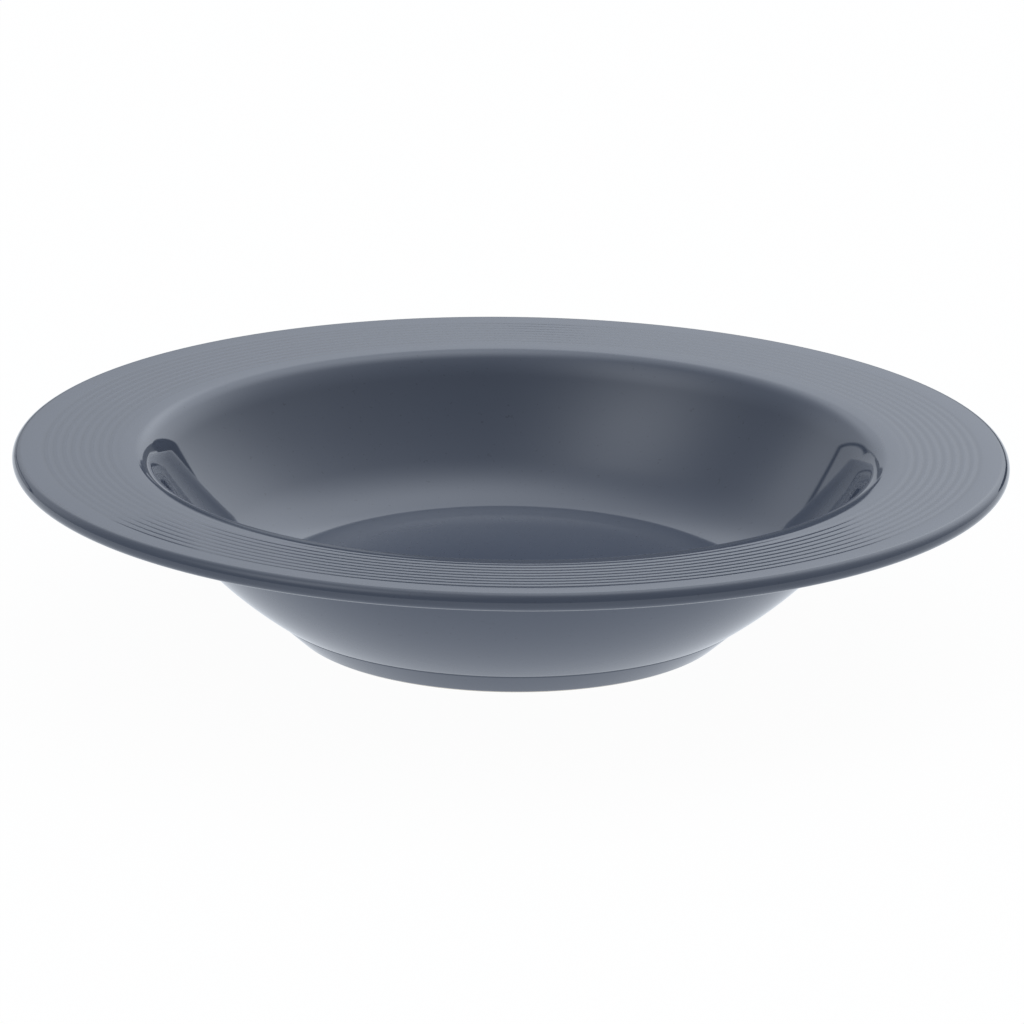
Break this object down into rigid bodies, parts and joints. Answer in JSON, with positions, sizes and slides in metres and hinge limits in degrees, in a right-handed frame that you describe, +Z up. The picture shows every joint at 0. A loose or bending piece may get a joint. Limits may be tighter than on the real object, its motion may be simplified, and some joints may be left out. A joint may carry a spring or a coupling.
{
  "type": "rimmed soup plate",
  "caption": "Round rimmed soup plate in dark grey glazed stoneware: deep well, wide flat rim with fine turned rings, tapered foot ring. Holds soup or pasta at table.",
  "frame": {"origin": "on the plate's axis, at the table under the foot ring", "axes": "+Z up along the plate's axis of revolution; X and Y are any two directions across the rim"},
  "size_m": [0.229, 0.229, 0.044],
  "materials": {
    "bare_stoneware": "matte",
    "slate_glaze": "polished"
  },
  "bodies": {
    "root": {"clay_body": "bare_stoneware", "glaze_coat": "slate_glaze", "base_glaze": "slate_glaze"}
  },
  "joints": []
}
